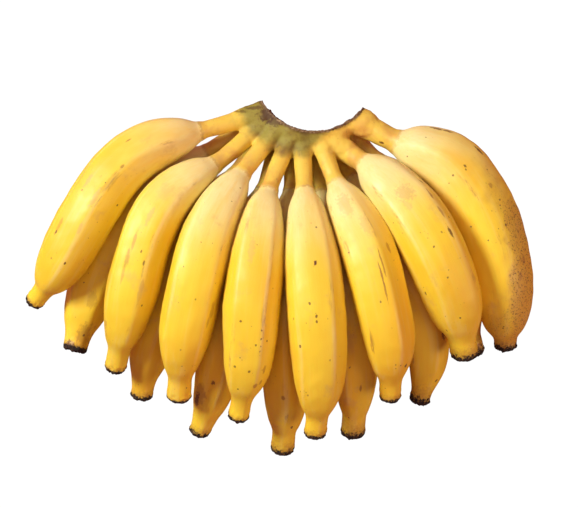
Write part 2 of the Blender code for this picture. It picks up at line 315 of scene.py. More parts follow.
def first_line(solid):
    """The middles of a finger's surface in shells round the crown, weighted by area."""
    low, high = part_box("crown")
    heart = np.array([(low.x + high.x) / 2, high.y, (low.z + high.z) / 2])
    spread = np.concatenate([solid.mean(axis=1), solid.reshape(-1, 3)])
    area = lengths(np.cross(solid[:, 1] - solid[:, 0], solid[:, 2] - solid[:, 0]))
    weight = np.concatenate([area * 3, np.repeat(area, 3)])
    away = lengths(spread - heart)
    edges = np.linspace(away.min(), away.max(), SHELLS + 1)
    middle = []
    for inner, outer in zip(edges[:-1], edges[1:]):
        band = (away >= inner) & (away <= outer)
        middle.append(np.average(spread[band], axis=0, weights=weight[band]))
    return np.array(middle)


def measure_finger(node):
    """Centre line, radius and ridge direction of a finger's solid, from its plane sections.

    A first line joins the middles of shells round the crown. Then the line is put through the
    middles of plane sections across it, a few times over, between the centres of the flat ends.
    """
    solid = triangles_of(node)
    corners = np.unique(solid.reshape(-1, 3).round(7), axis=0)
    middle = first_line(solid)
    root, root_radius = end_cap(corners, middle[0], middle[0] - middle[1])
    tip, tip_radius = end_cap(corners, middle[-1], middle[-1] - middle[-2])

    def sections(line):
        tangents = unit(np.gradient(line, axis=0))
        clear = lengths(line - root) > CAP_CLEAR
        clear &= lengths(line - tip) > CAP_CLEAR
        return tangents, clear, *slices(solid, line[clear], tangents[clear])

    line, length = resample(np.concatenate([[root], middle[2:-2], [tip]]), SLICES)
    for _ in range(CENTRING_ROUNDS):
        tangents, clear, start, end, size = sections(line)
        centre = ((start + end) / 2 * size[..., None]).sum(axis=1) / size.sum(axis=1)[:, None]
        line, length = resample(np.concatenate([[root], centre, [tip]]), SLICES)
        line = smooth_along(line, 0.8)
    tangents, clear, start, end, size = sections(line)
    up, side = section_axes(tangents[clear])
    middle = line[clear][:, None]
    arm = (start + end) / 2 - middle
    swept = lengths(np.cross(start - middle, end - middle))
    area = (swept * (size > 0)).sum(axis=1) / 2
    at = np.linspace(0, length, SLICES)
    known = np.concatenate([[0], at[clear], [length]])
    radius = np.concatenate([[root_radius], np.sqrt(area / SECTION_AREA), [tip_radius]])
    radius = np.interp(at, known, radius)
    angle = np.arctan2(np.einsum("kmd,kd->km", arm, side), np.einsum("kmd,kd->km", arm, up))
    wave = (size * lengths(arm) * np.exp(1j * RIDGE_COUNT * angle)).sum(axis=1)
    third = len(wave) // 3
    ridge = np.angle(wave[third:-third].sum()) / RIDGE_COUNT
    return line, radius, ridge, length


# ---- shapes in general

def waves(points, count, longest, seed):
    """Smooth unevenness between about -1 and 1: a sum of sines in random directions of space."""
    random = np.random.default_rng(seed)
    heading = unit(random.normal(size=(count, 3)))
    pitch = 2 * math.pi / (longest * random.uniform(0.35, 1.0, count))
    phase = random.uniform(0, 2 * math.pi, count)
    flat = points.reshape(-1, 3) @ (heading * pitch[:, None]).T + phase
    return (np.sin(flat).sum(axis=1) / math.sqrt(count)).reshape(points.shape[:-1])


def ease(value, low, high):
    """0 below low, 1 above high, and a smooth step between them."""
    share = np.clip((value - low) / (high - low), 0, 1)
    return share * share * (3 - 2 * share)


def upright(radius, angle, height):
    """Points at these radii and heights about the Z axis, as a grid of (row, column, xyz)."""
    return np.stack([radius * np.cos(angle), radius * np.sin(angle),
                     np.broadcast_to(height, radius.shape)], axis=-1)


def closed_tube(points):
    """Vertices and faces of a grid (row, column, xyz) closed round its columns and at both ends.

    The columns run anticlockwise seen from the last row, so that faces point outwards."""
    rows, columns = points.shape[:2]
    first, last = points[0].mean(axis=0), points[-1].mean(axis=0)
    vertices = np.concatenate([points.reshape(-1, 3), [first, last]])
    row, column = np.meshgrid(np.arange(rows - 1), np.arange(columns), indexing="ij")
    beside = (column + 1) % columns
    above = (row + 1) * columns
    quads = np.stack([row * columns + column, row * columns + beside,
                      above + beside, above + column], axis=-1).reshape(-1, 4)
    around = np.arange(columns)
    after = (around + 1) % columns
    top = (rows - 1) * columns
    start = np.stack([after, around, np.full(columns, rows * columns)], axis=1)
    end = np.stack([top + around, top + after, np.full(columns, rows * columns + 1)], axis=1)
    return vertices, quads, np.concatenate([start, end])


def fill_mesh(mesh, vertices, quads, triangles):
    """Put whole arrays into a mesh, all of its faces shaded smooth."""
    loops = np.concatenate([quads.ravel(), triangles.ravel()]).astype(np.int32)
    sizes = np.concatenate([np.full(len(quads), 4), np.full(len(triangles), 3)])
    starts = np.concatenate([[0], np.cumsum(sizes)[:-1]]).astype(np.int32)
    mesh.vertices.add(len(vertices))
    mesh.vertices.foreach_set("co", vertices.ravel())
    mesh.loops.add(len(loops))
    mesh.loops.foreach_set("vertex_index", loops)
    mesh.polygons.add(len(sizes))
    mesh.polygons.foreach_set("loop_start", starts)
    mesh.update(calc_edges=True)
    mesh.validate()
    mesh.shade_smooth()


def new_object(name, data):
    """An object of the scene that holds this mesh, light or camera."""
    thing = bpy.data.objects.new(name, data)
    bpy.context.scene.collection.objects.link(thing)
    return thing


def new_piece(name, mesh, material, slot, *nodes):
    """An object of this mesh that rides on the hand and stands for these CAD nodes."""
    piece = new_object(name, mesh)
    mesh.materials.clear()
    mesh.materials.append(material)
    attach(piece, "root")
    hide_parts(*nodes)


def set_floats(mesh, name, values):
    layer = mesh.attributes.new(name, "FLOAT", "POINT")
    layer.data.foreach_set("value", np.ascontiguousarray(values, dtype=np.float32).ravel())


def set_vectors(mesh, name, values):
    layer = mesh.attributes.new(name, "FLOAT_VECTOR", "POINT")
    layer.data.foreach_set("vector", np.ascontiguousarray(values, dtype=np.float32).ravel())


# ---- fingers

def pentagon(angle):
    """Radius of a rounded pentagon: one over the power mean of the distances to its sides."""
    facing = np.stack([np.cos(angle - math.pi * (2 * side + 1) / RIDGE_COUNT)
                       for side in range(RIDGE_COUNT)])
    return (np.maximum(facing, 0) ** RIDGE_POWER).sum(axis=0) ** (-1 / RIDGE_POWER)


def five_sided(angle):
    """Radius of a rounded pentagon of mean radius one, a ridge at angle 0."""
    return pentagon(angle) / pentagon(np.linspace(0, 2 * math.pi, 360, endpoint=False)).mean()


def finger_rows(length, radius_at_tip):
    """Place along the finger and radius share of every row, from the stem's end to the scar."""
    body = np.linspace(-ROOT_INSIDE, length - TIP_RIM, ROWS_ALONG)
    turn = np.linspace(0, math.pi / 2, ROWS_TIP_RIM + 1)[1:]
    rim_along = length - TIP_RIM + TIP_RIM * np.sin(turn)
    rim_share = 1 - TIP_RIM * (1 - np.cos(turn)) / radius_at_tip
    inward = np.linspace(1, 0, ROWS_TIP_DISC + 1)[1:-1]
    disc_share = inward * rim_share[-1]
    hollow = TIP_HOLLOW * (1 - inward ** 3)
    nub = TIP_NUB * np.exp(-(inward / 0.28) ** 2)
    disc_along = length - hollow + nub
    along = np.concatenate([body[:1], body, rim_along, disc_along])
    share = np.concatenate([[0.5], np.ones(len(body)), rim_share, disc_share])
    return along, share


def finger_neck(radius, length):
    """Distance along a finger at which the slim stem has swollen into the body."""
    stem = radius[:SLICES // 3]
    slimmest = np.argmin(stem)
    at = np.linspace(0, length, SLICES)[slimmest:SLICES // 3]
    return np.interp(NECK_SWELL * stem.min(), stem[slimmest:], at)


def make_finger(node, seed):
    """The skin of one finger, a five-sided section carried along the centre line of its solid.

    Radius = girth of the solid x section x unevenness, where the ridges fade out on the stem and
    the tip. The last rows turn over the blunt end into the dry scar of the flower. Gives the
    mesh, the share of the body of each row, the place of each vertex on the finger laid
    straight, and the stem's root, direction and radius."""
    random = np.random.default_rng(seed)
    line, radius, ridge, length = measure_finger(node)
    neck = finger_neck(radius, length)
    along, share_of_girth = finger_rows(length, radius[-1])
    at = np.linspace(0, length, SLICES)
    dense = np.linspace(0, length, 4 * SLICES)
    fine_line = smooth_along(read_along(dense, at, line), 5)
    fine_radius = smooth_along(np.interp(dense, at, radius)[:, None], 2.2)[:, 0]
    inside = np.clip(along, 0, length)
    tangent = unit(read_along(inside, dense, unit(np.gradient(fine_line, axis=0))))
    centre = read_along(inside, dense, fine_line) + tangent * (along - inside)[:, None]
    girth = np.interp(inside, dense, fine_radius) * share_of_girth
    body = (along - neck) / (length - neck)

    angle = np.arange(COLUMNS) / COLUMNS * 2 * math.pi
    twist = random.uniform(-RIDGE_TWIST, RIDGE_TWIST) * (body - 0.5)
    turned = angle[None] - ridge + twist[:, None]
    uneven = random.uniform(*RIDGES_UNEVEN, 2)
    shift = random.uniform(0, 2 * math.pi, 2)
    turned = turned + uneven[0] * np.sin(angle + shift[0]) + uneven[1] * np.sin(2 * angle + shift[1])
    section = five_sided(turned)
    ridged = ROUNDER.get(node, RIDGE_SHARE)
    strength = ridged * (0.25 + 0.75 * ease(body, 0.0, 0.16)) * (1 - 0.62 * ease(body, 0.8, 0.93))
    strength = strength * (1 - 0.8 * ease(body, 0.97, 1.0))
    shape = 1 + strength[:, None] * (section - 1)
    crest = (section - section.min()) / (section.max() - section.min()) * (strength / ridged)[:, None]

    arm = spokes(*section_axes(tangent), angle)
    reach = girth[:, None] * shape
    rough = centre[:, None] + arm * reach[..., None]
    swell = SWELL[0] * waves(rough, 9, SWELL[1], seed + 100) * ease(body, -0.05, 0.12)[:, None]
    dents = DENTS[0] * waves(rough, 14, DENTS[1], seed + 200)
    at_tip = ease(along, length - 9 * MM, length - 1 * MM)[:, None]
    crumple = CRUMPLE[0] * waves(rough, 12, CRUMPLE[1], seed + 300) * at_tip
    collar = COLLAR * np.exp(-((along - neck + 1.5 * MM) / (1.6 * MM)) ** 2)[:, None]
    grows = np.minimum(share_of_girth / 0.9, 1)[:, None]
    reach = reach + (swell + dents + crumple + collar) * grows
    points = centre[:, None] + arm * reach[..., None]
    scar = ease(along, length - TIP_RIM * 0.3, length)[:, None]
    ragged = RAGGED[0] * waves(rough, 16, RAGGED[1], seed + 400) * scar
    points += tangent[:, None] * ragged[..., None]
    points[..., 2] = np.maximum(points[..., 2], LOWEST)

    vertices, quads, ends = closed_tube(points)
    mesh = bpy.data.meshes.new("skin_of_" + node)
    fill_mesh(mesh, vertices, quads, ends)
    offset = np.array([0.11 * seed, 0.07 * seed, 0.0])  # each finger has its own part of a pattern
    straight = upright(reach, angle, along[:, None]) + offset
    poles = [offset + [0, 0, along[0]], offset + [0, 0, along[-1]]]

    def per_vertex(rows):
        filled = np.broadcast_to(rows.reshape(len(rows), -1), reach.shape).ravel()
        return np.concatenate([filled, [filled[0], filled[-1]]])

    set_vectors(mesh, "grown", np.concatenate([straight.reshape(-1, 3), poles]))
    set_floats(mesh, "body_share", per_vertex(body))
    set_floats(mesh, "from_neck", per_vertex(along - neck))
    to_scar = np.maximum(length - TIP_RIM - along, -1.0) / (DRY_TIPS[node] * MM)
    set_floats(mesh, "to_scar", per_vertex(to_scar))
    set_floats(mesh, "crest", per_vertex(crest))
    set_floats(mesh, "from_stalk", lengths(vertices[:, :2] - STALK_AXIS))
    return mesh, body, straight, (line[0], unit(line[1] - line[0]), radius[0])


# ---- crown

def measure_crown():
    """The stalk's axis, the crown's inner and outer radius and end angles about it, and its top.

    The flat underside is bounded by two arcs about the axis, which a least squares fit gives."""
    corners = np.unique(triangles_of("crown").reshape(-1, 3).round(7), axis=0)
    foot = corners[corners[:, 2] < LOWEST][:, :2]
    low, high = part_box("crown")
    centre = np.array([(low.x + high.x) / 2, high.y + 20 * MM])
    for _ in range(FIT_ROUNDS):
        away = lengths(foot - centre)
        outer = away > (away.min() + away.max()) / 2
        system = np.stack([2 * foot[:, 0], 2 * foot[:, 1], ~outer, outer], axis=1)
        centre = np.linalg.lstsq(system, (foot ** 2).sum(axis=1), rcond=None)[0][:2]
    away = lengths(foot - centre)
    angle = np.arctan2(foot[:, 1] - centre[1], foot[:, 0] - centre[0]) % (2 * math.pi)
    return centre, away.min(), away.max(), angle.min(), angle.max(), high.z


STALK_AXIS, INNER_RADIUS, OUTER_RADIUS, ARC_START, ARC_END, CROWN_TOP = measure_crown()


def cut_radius(height):
    """Radius of the cut at a height: it leans a little, so that its foot is nearer to the axis."""
    return INNER_RADIUS - PAD_EDGE + CUT_LEAN * (height / CROWN_TOP - 0.75)


def arc_pad():
    """The crown's pad as a grid: an upright section carried round the stalk's axis.

    The section is a box with rounded edges. Its top falls away from the cut and towards the
    ends of the arc, and its inner side stands past the cut, which is made later."""
    turn = -np.linspace(0, 2 * math.pi, 44, endpoint=False)
    box_x = np.sign(np.cos(turn)) * np.abs(np.cos(turn)) ** 0.5
    box_z = np.sign(np.sin(turn)) * np.abs(np.sin(turn)) ** 0.5
    near, far = INNER_RADIUS - PAD_INSIDE, OUTER_RADIUS + PAD_OUTSIDE
    away = (near + far) / 2 + (far - near) / 2 * box_x
    angle = np.linspace(ARC_START + 0.10, ARC_END - 0.12, 60)
    place = np.linspace(-1, 1, 60)
    peak = CROWN_TOP - 1.0 * MM - PAD_DROP * np.abs(place) ** 2.4
    middle = peak[:, None] / 2
    height = middle + (middle - 0.4 * MM) * box_z
    height = height - PAD_SLOPE * np.maximum(away - INNER_RADIUS, 0) * np.maximum(box_z, 0)
    thin = np.sin(np.linspace(0.25, math.pi - 0.25, 60)) ** 0.3
    away = near + (away[None] - near) * thin[:, None]
    return closed_tube([*STALK_AXIS, 0] + upright(away, angle[:, None], height))


def stub(root, outward, root_radius):
    """A stem's root as a grid: rings on a straight path from inside the stem on past the cut.

    The path levels out on its way. The rings swell from a little less than the stem's radius,
    where they are hidden inside the stem, to a little more."""
    level = unit(outward * [1, 1, 0])
    share = np.linspace(0, 1, 30)[:, None]
    run = -STUB_HIDDEN + share * (STUB_HIDDEN + STUB_THROUGH)
    inward = np.maximum(run, 0)
    path = root - level * inward - outward * np.minimum(run, 0)
    path[:, 2] -= (outward[2] * 5 * MM * (1 - np.exp(-inward / (5 * MM))))[:, 0]
    tangent = unit(np.gradient(path, axis=0))
    at = [-STUB_HIDDEN, -4 * MM, 3 * MM, 9 * MM, STUB_THROUGH]
    swell = np.interp(run[:, 0], at, [0.72, 0.93, 1.10, 1.24, 1.30])
    ring = spokes(*section_axes(tangent), np.linspace(0, 2 * math.pi, 32, endpoint=False))
    points = path[:, None] + ring * (root_radius * swell)[:, None, None]
    points[..., 2] = np.maximum(points[..., 2], 0.6 * MM)
    return closed_tube(points)


def cutter():
    """The knife's way through the crown: a wavy cone frustum about the stalk's axis.

    Radius at an angle and a height = that of the cut + upright fibres + coarse steps."""
    height = np.linspace(-8 * MM, CROWN_TOP + 12 * MM, 70)[:, None]
    angle = np.linspace(0, 2 * math.pi, 420, endpoint=False)
    radius = cut_radius(height) + np.zeros(len(angle))
    arc = upright(radius, angle, height)
    radius = radius + CUT_FIBRES[0] * waves(arc * [1, 1, 0.12], 24, CUT_FIBRES[1], 71)
    radius = radius + CUT_STEPS[0] * waves(arc * [1, 1, 0.5], 14, CUT_STEPS[1], 72)
    return closed_tube([*STALK_AXIS, 0] + upright(radius, angle, height))


def plain_object(name, solids):
    """One object that holds several closed grids."""
    count = 0
    vertices, quads, triangles = [], [], []
    for corners, fours, threes in solids:
        vertices.append(corners)
        quads.append(fours + count)
        triangles.append(threes + count)
        count += len(corners)
    mesh = bpy.data.meshes.new(name)
    fill_mesh(mesh, np.concatenate(vertices), np.concatenate(quads), np.concatenate(triangles))
    return new_object(name, mesh)


def baked(thing, name):
    """The mesh of an object with its modifiers applied. The object is removed."""
    bpy.context.view_layer.update()
    mesh = bpy.data.meshes.new_from_object(thing.evaluated_get(bpy.context.evaluated_depsgraph_get()))
    mesh.name = name
    bpy.data.objects.remove(thing)
    return mesh


def read_vertices(mesh, normals=False):
    """The places or the normals of a mesh's vertices, as an array of (vertex, xyz)."""
    values = np.empty(len(mesh.vertices) * 3)
    source, field = (mesh.vertex_normals, "vector") if normals else (mesh.vertices, "co")
    source.foreach_get(field, values)
    return values.reshape(-1, 3)


def make_crown(stems, material):
    """The pad and the stubs grown together by a remesh, made uneven by waves, and then cut."""
    grown = plain_object("crown_parts", [arc_pad()] + [stub(*stem) for stem in stems])
    remesh = grown.modifiers.new("grown_together", "REMESH")
    remesh.mode = "VOXEL"
    remesh.voxel_size = CROWN_VOXEL
    soften = grown.modifiers.new("soften", "SMOOTH")
    soften.factor = 0.5
    soften.iterations = 14
    whole = baked(grown, "whole_crown")
    points = read_vertices(whole)
    away = lengths(points[:, :2] - STALK_AXIS)
    fades = 1 - ease(away, OUTER_RADIUS + 3 * MM, OUTER_RADIUS + 9 * MM)
    lumps = 0.35 * waves(points, 10, 15 * MM, 73) + 0.10 * waves(points, 14, 4.5 * MM, 74)
    points = points + read_vertices(whole, normals=True) * (MM * lumps * fades)[:, None]
    points[:, 2] = np.maximum(points[:, 2], 0.3 * MM)
    whole.vertices.foreach_set("co", points.ravel())
    whole.update()
    holder = new_object("whole_crown", whole)
    knife = plain_object("knife", [cutter()])
    slice_off = holder.modifiers.new("cut", "BOOLEAN")
    slice_off.operation = "DIFFERENCE"
    slice_off.solver = "MANIFOLD"
    slice_off.object = knife
    skin = baked(holder, "skin_of_crown")
    bpy.data.objects.remove(knife)
    skin.shade_smooth()
    skin.set_sharp_from_angle(angle=CUT_EDGE)
    points = read_vertices(skin)
    away = lengths(points[:, :2] - STALK_AXIS)
    past_cut = away - cut_radius(points[:, 2])
    set_floats(skin, "cut", (past_cut < 1.0 * MM).astype(float))
    set_floats(skin, "past_cut", past_cut)
    set_floats(skin, "from_stalk", away)
    new_piece("skin_crown", skin, material, "crown", "crown")


# ---- materials

class Nodes:
    """Short ways to place shader nodes in one tree. An input takes a socket or a plain value."""

    def __init__(self, tree):
        self.tree = tree

    def add(self, kind, **settings):
        """A shader node of this kind with these settings."""
        node = self.tree.nodes.new("ShaderNode" + kind)
        for key, value in settings.items():
            setattr(node, key, value)
        return node

    def join(self, source, target):
        if isinstance(source, bpy.types.NodeSocket):
            self.tree.links.new(source, target)
        else:
            target.default_value = source

    def join_all(self, sources, node):
        for source, target in zip(sources, node.inputs):
            self.join(source, target)

    def maths(self, operation, first, second=0.0, third=0.0):
        node = self.add("Math", operation=operation)
        self.join_all((first, second, third), node)
        return node.outputs[0]

    def times(self, first, second):
        return self.maths("MULTIPLY", first, second)

    def shaken(self, base, noise, amount):
        """The base value, raised and lowered by a noise that lies evenly about a half."""
        return self.maths("MULTIPLY_ADD", self.maths("SUBTRACT", noise, 0.5), amount, base)

    def vectors(self, operation, *sources):
        """A vector calculation. It gives a vector, or a plain value for LENGTH."""
        node = self.add("VectorMath", operation=operation)
        self.join_all(sources, node)
        return node.outputs["Value" if operation == "LENGTH" else "Vector"]

    def step(self, value, low, high, to_low=0.0, to_high=1.0):
        """A smooth step of value between low and high."""
        node = self.add("MapRange", interpolation_type="SMOOTHSTEP")
        self.join_all((value, low, high, to_low, to_high), node)
        return node.outputs["Result"]

    def mix(self, factor, first, second):
        """The first colour, and as much of the second over it as the factor says."""
        node = self.add("Mix", data_type="RGBA")
        self.join(factor, node.inputs["Factor"])
        for source, target in ((first, node.inputs[6]), (second, node.inputs[7])):
            if isinstance(source, tuple):
                source = (*source[:3], 1.0)
            self.join(source, target)
        return node.outputs[2]

    def noise(self, vector, scale, detail, roughness):
        node = self.add("TexNoise")
        self.join(vector, node.inputs["Vector"])
        node.inputs["Scale"].default_value = scale
        node.inputs["Detail"].default_value = detail
        node.inputs["Roughness"].default_value = roughness
        return node.outputs["Fac"]

    def drawn_out(self, vector, share):
        """Places for a pattern that is drawn out along Z: its pitch there is 1 / share."""
        node = self.add("Mapping")
        self.join(vector, node.inputs["Vector"])
        node.inputs["Scale"].default_value = (1.0, 1.0, share)
        return node.outputs["Vector"]

    def attribute(self, name, output="Fac"):
        return self.add("Attribute", attribute_name=name).outputs[output]

    def place(self):
        return self.add("TexCoord").outputs["Object"]

    def blend_shaders(self, share, first, second, surface):
        """Send the first shader, with this share of the second, to the tree's output."""
        both = self.add("MixShader")
        self.join_all((share, first.outputs[0], second.outputs[0]), both)
        self.join(both.outputs[0], surface)

    def bump(self, shader, height, strength, distance):
        node = self.add("Bump")
        node.inputs["Strength"].default_value = strength
        node.inputs["Distance"].default_value = distance
        self.join(height, node.inputs["Height"])
        self.join(node.outputs["Normal"], shader.inputs["Normal"])

    def use(self, group, **values):
        node = self.add("Group", node_tree=group)
        for key, value in values.items():
            self.join(value, node.inputs[key.replace("_", " ").title()])
        return node.outputs


def new_group(name, inputs, outputs):
    """An empty shader node group with these sockets, its helper, inputs and outputs."""
    group = bpy.data.node_groups.new(name, "ShaderNodeTree")
    for direction, sockets in (("INPUT", inputs), ("OUTPUT", outputs)):
        for label, kind in sockets.items():
            group.interface.new_socket(label, in_out=direction, socket_type="NodeSocket" + kind)
    given, result = group.nodes.new("NodeGroupInput"), group.nodes.new("NodeGroupOutput")
    return group, Nodes(group), given.outputs, result.inputs


def freckle_group():
    """Sparse round dots of uneven size: the near cells of a Voronoi pattern, thinned by chance."""
    group, build, given, result = new_group(
        "freckles", {"Vector": "Vector", "Scale": "Float", "Amount": "Float"}, {"Mask": "Float"})
    cells = build.add("TexVoronoi", feature="F1")
    wobble = build.add("TexNoise")
    build.join(given["Vector"], wobble.inputs["Vector"])
    build.join(build.times(given["Scale"], 2.5), wobble.inputs["Scale"])
    moved = build.vectors("MULTIPLY_ADD", wobble.outputs["Color"], (0.0012,) * 3, given["Vector"])
    build.join(moved, cells.inputs["Vector"])
    build.join(given["Scale"], cells.inputs["Scale"])
    chance = build.add("SeparateColor")
    build.join(cells.outputs["Color"], chance.inputs[0])
    chosen = build.maths("LESS_THAN", chance.outputs[0], given["Amount"])
    size = build.maths("MULTIPLY_ADD", chance.outputs[1], 0.18, 0.07)
    fade = build.step(cells.outputs["Distance"], build.times(size, 0.45), size, 1.0, 0.0)
    build.join(build.times(fade, chosen), result["Mask"])
    return group


def mark_group():
    """One mark at a place: a ragged blot, its edge broken up by noise."""
    given = {"Vector": "Vector", "Noise": "Float", "Centre": "Vector", "Reach": "Vector"}
    group, build, given, result = new_group("mark", given, {"Mask": "Float"})
    offset = build.vectors("SUBTRACT", given["Vector"], given["Centre"])
    far = build.vectors("LENGTH", build.vectors("DIVIDE", offset, given["Reach"]))
    ragged = build.shaken(far, given["Noise"], 2.2)
    build.join(build.step(ragged, 0.55, 1.15, 1.0, 0.0), result["Mask"])
    return group


def stem_group(mark):
    """Colour of the stems and of the crown that they run into, by distance from the stalk.

    Olive and brown mottling close to the cut gives way to bright yellow and then to tan. The
    olive thins out towards the crown's +X end."""
    group, build, given, result = new_group(
        "stem_colour", {"Vector": "Vector", "From Stalk": "Float"}, {"Color": "Color"})
    place = given["Vector"]
    patches = build.noise(place, 75.0, 3.0, 0.55)
    broad = build.noise(place, 45.0, 2.0, 0.5)
    small = build.noise(place, 420.0, 4.0, 0.65)
    axes = build.add("SeparateXYZ")
    build.join(place, axes.inputs[0])
    away = build.shaken(given["From Stalk"], patches, 0.018)
    away = build.maths("ADD", away, build.step(axes.outputs["X"], 0.014, 0.036, 0.0, 0.024))
    olive = build.mix(build.step(broad, 0.45, 0.66), CROWN_OLIVE, CROWN_BROWN)
    olive = build.mix(build.step(small, 0.45, 0.75, 0.0, 0.45), olive, CROWN_BROWN)
    tan = build.mix(build.step(patches, 0.40, 0.66), STEM_YELLOW, STEM_TAN)
    stem = build.mix(build.step(away, 0.060, 0.072), STEM_YELLOW, tan)
    colour = build.mix(build.step(away, 0.046, 0.057), olive, stem)
    specks = build.step(small, 0.62, 0.74, 0.0, 0.30)
    colour = build.mix(specks, colour, CROWN_BROWN)
    for centre, reach, strength in STEM_PATCHES:
        centre, reach = (tuple(v * MM for v in vector) for vector in (centre, reach))
        patch = build.use(mark, vector=place, noise=small, centre=centre, reach=reach)["Mask"]
        colour = build.mix(build.times(patch, strength), colour, CUT_DARK)
    build.join(colour, result["Color"])
    return group


def principled(name, roughness):
    """A material with its tree's helper and its Principled shader."""
    material = bpy.data.materials.new(name)
    material.use_nodes = True
    shader = material.node_tree.nodes["Principled BSDF"]
    shader.inputs["Roughness"].default_value = roughness
    return material, Nodes(material.node_tree), shader


def light_inside(shader, radius, scale):
    """Light that goes a little way into the flesh: how far for each colour, in shares of scale."""
    shader.inputs["Subsurface Weight"].default_value = 0.15
    shader.inputs["Subsurface Radius"].default_value = radius
    shader.inputs["Subsurface Scale"].default_value = scale


def all_marks(build, mark, vector, noise, skins, kind):
    """The strongest of every mark of one kind."""
    total = 0.0
    own = [(finger, *row[:-1]) for finger, rows in MARKS.items() for row in rows if row[-1] == kind]
    for finger, share, turn, long, wide, strength in own:
        body, straight = skins[finger]
        row = int(np.abs(body - share).argmin())
        column = int(round(turn / 360 * COLUMNS)) % COLUMNS
        centre = tuple(float(v) for v in straight[row, column])
        reach = (wide * MM, wide * MM, long * MM)
        one = build.use(mark, vector=vector, noise=noise, centre=centre, reach=reach)["Mask"]
        total = build.maths("MAXIMUM", total, build.times(one, strength))
    return total


def peel_material(freckles, mark, stem_colour, skins):
    """Ripe peel: yellow to orange patches, a painted highlight of pale cream on the shoulders, rubbed
    ridges, freckles, dull brown regions that are partly painted shade, and dry tips.
    """
    material, build, shader = principled("ripe_peel", 0.42)
    skin = build.attribute("grown", "Vector")
    share = build.attribute("body_share")
    crest = build.attribute("crest")
    from_neck = build.attribute("from_neck")
    to_scar = build.attribute("to_scar")

    def marks(kind, noise):
        return all_marks(build, mark, skin, noise, skins, kind)

    patches = build.noise(build.drawn_out(skin, 0.35), 42.0, 3.0, 0.5)
    fibres = build.noise(build.drawn_out(skin, 0.10), 950.0, 4.0, 0.6)
    streaks = build.noise(build.drawn_out(skin, 0.06), 190.0, 3.0, 0.55)
    crumbs = build.noise(skin, 650.0, 4.0, 0.65)
    colour = build.mix(build.step(patches, 0.42, 0.74), PEEL_YELLOW, PEEL_DEEP)
    # Painted highlight: the shoulders by the neck are mixed towards pale cream, where the light falls
    # brightest
    shoulder_highlight = build.shaken(share, patches, 0.45)
    colour = build.mix(build.step(shoulder_highlight, 0.0, 0.42, 0.85, 0.0), colour, PALE_PEEL_AND_HIGHLIGHT)
    colour = build.mix(build.step(streaks, 0.50, 0.70, 0.0, 0.14), colour, PALE_PEEL_AND_HIGHLIGHT)
    colour = build.mix(build.times(build.step(streaks, 0.50, 0.30), 0.22), colour, PEEL_DEEP)
    from_stalk = build.attribute("from_stalk")
    stem = build.use(stem_colour, vector=build.place(), from_stalk=from_stalk)["Color"]
    uneven = build.shaken(from_neck, crumbs, 0.004)
    colour = build.mix(build.step(uneven, -0.0022, 0.0016, 1.0, 0.0), colour, stem)
    from_line = build.maths("ABSOLUTE", build.maths("ADD", uneven, 0.0004))
    neck_line = build.step(from_line, 0.0002, 0.0013, 1.0, 0.0)
    broken = build.step(patches, 0.38, 0.58)
    colour = build.mix(build.times(neck_line, build.times(broken, 0.45)), colour, RUB_BROWN)
    fine = build.step(fibres, 0.30, 0.70)
    colour = build.mix(build.times(build.maths("SUBTRACT", 1.0, fine), 0.14), colour, PEEL_DEEP)

    worn = build.noise(build.drawn_out(skin, 0.20), 190.0, 5.0, 0.72)
    where = build.noise(skin, 24.0, 2.0, 0.5)
    rub = build.times(build.step(crest, 0.62, 0.97), build.step(worn, 0.53, 0.66))
    rub = build.times(rub, build.step(where, 0.44, 0.60))
    colour = build.mix(build.times(rub, 0.75), colour, RUB_BROWN)
    edge_line = build.times(build.step(crest, 0.80, 1.0), build.step(streaks, 0.35, 0.65))
    colour = build.mix(build.times(edge_line, 0.22), colour, PALE_PEEL_AND_HIGHLIGHT)

    blotches = build.noise(skin, 50.0, 5.0, 0.62)
    bruised = build.times(build.step(blotches, 0.58, 0.72), 0.35)
    tan = marks("tan", crumbs)
    colour = build.mix(build.maths("MAXIMUM", bruised, tan), colour, BRUISE_TAN)
    brown = marks("brown", build.noise(build.drawn_out(skin, 0.4), 520.0, 4.0, 0.7))
    colour = build.mix(brown, colour, RUB_BROWN)

    # Regions of freckles, with a dull brown tint that is partly painted shade on the shaded side of
    # the finger
    freckle_and_shade_region = marks("freckled_shade", build.noise(skin, 60.0, 3.0, 0.6))
    density = build.step(build.noise(skin, 30.0, 2.0, 0.5), 0.40, 0.68)
    few = build.maths("MULTIPLY_ADD", freckle_and_shade_region, 0.60, build.times(density, 0.19))
    dots = build.use(freckles, vector=skin, scale=330.0, amount=few)["Mask"]
    small = build.use(freckles, vector=skin, scale=750.0, amount=build.times(few, 0.7))["Mask"]
    dotted = build.maths("MAXIMUM", dots, build.times(small, 0.7))
    crowded = build.step(build.noise(skin, 1000.0, 3.0, 0.7), 0.54, 0.62, 0.0, 0.9)
    dotted = build.maths("MAXIMUM", dotted, build.times(crowded, build.step(freckle_and_shade_region, 0.3, 1.0)))
    # Painted shade in part: the regions are dulled towards brown
    colour = build.mix(build.times(freckle_and_shade_region, 0.55), colour, DULL_BRUISE_AND_SHADE)
    colour = build.mix(build.times(dotted, 0.85), colour, FRECKLE_BROWN)
    dark = marks("dark", crumbs)
    colour = build.mix(dark, colour, FRECKLE_BROWN)

    edge = build.shaken(to_scar, crumbs, 2.3)
    dry = build.step(edge, 0.15, 0.75, 1.0, 0.0)
    halo = build.step(edge, 0.4, 2.2, 0.55, 0.0)
    colour = build.mix(halo, colour, RUB_BROWN)
    scar = build.mix(build.step(fibres, 0.45, 0.65), SCAR_BLACK, SCAR_BROWN)
    colour = build.mix(dry, colour, scar)
    build.join(colour, shader.inputs["Base Color"])

